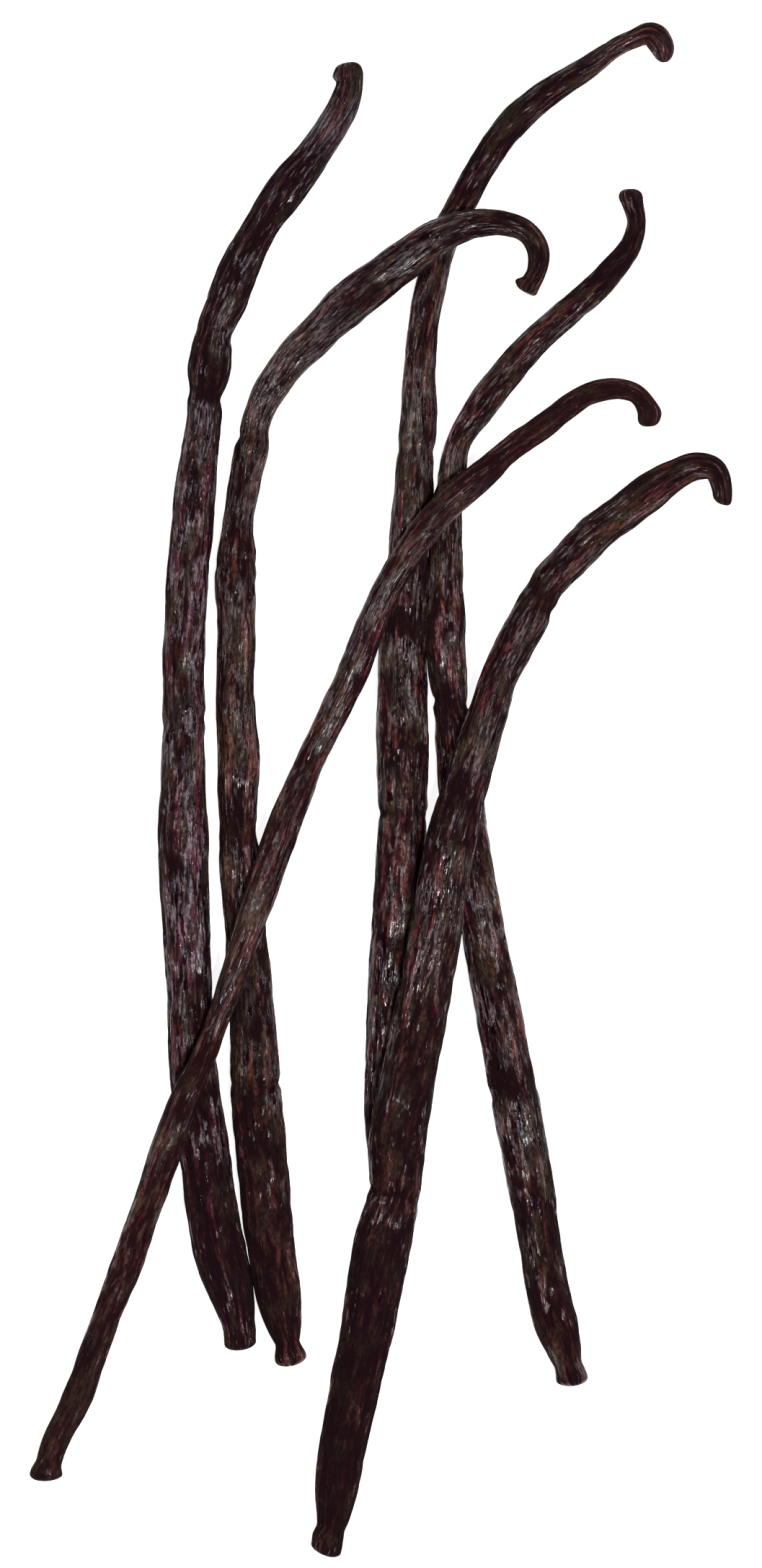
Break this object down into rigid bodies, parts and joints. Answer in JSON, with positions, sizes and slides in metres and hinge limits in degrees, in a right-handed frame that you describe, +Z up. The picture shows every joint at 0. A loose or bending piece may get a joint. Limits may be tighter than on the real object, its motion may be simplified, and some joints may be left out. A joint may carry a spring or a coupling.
{
  "type": "bundle of vanilla pods",
  "caption": "Loose bundle of long, wrinkled, dark brown cured vanilla pods lying across each other, with hooked stem ends and tapered ends that close in a small button.",
  "frame": {"origin": "centre of the bundle's box, on the surface that it lies on", "axes": "+Z up from the surface, +Y along the pods towards their hooked stem ends, +X to the right as seen from above"},
  "size_m": [0.1022, 0.2234, 0.0091],
  "materials": {
    "pod_skin": "oily, wrinkled, near-black brown",
    "pod_skin_red": "oily, wrinkled, slightly redder dark brown"
  },
  "bodies": {
    "root": {"pod_outer_left": "pod_skin", "pod_inner_left": "pod_skin", "pod_middle": "pod_skin", "pod_right": "pod_skin", "pod_slim": "pod_skin_red", "pod_wide": "pod_skin"}
  },
  "joints": []
}
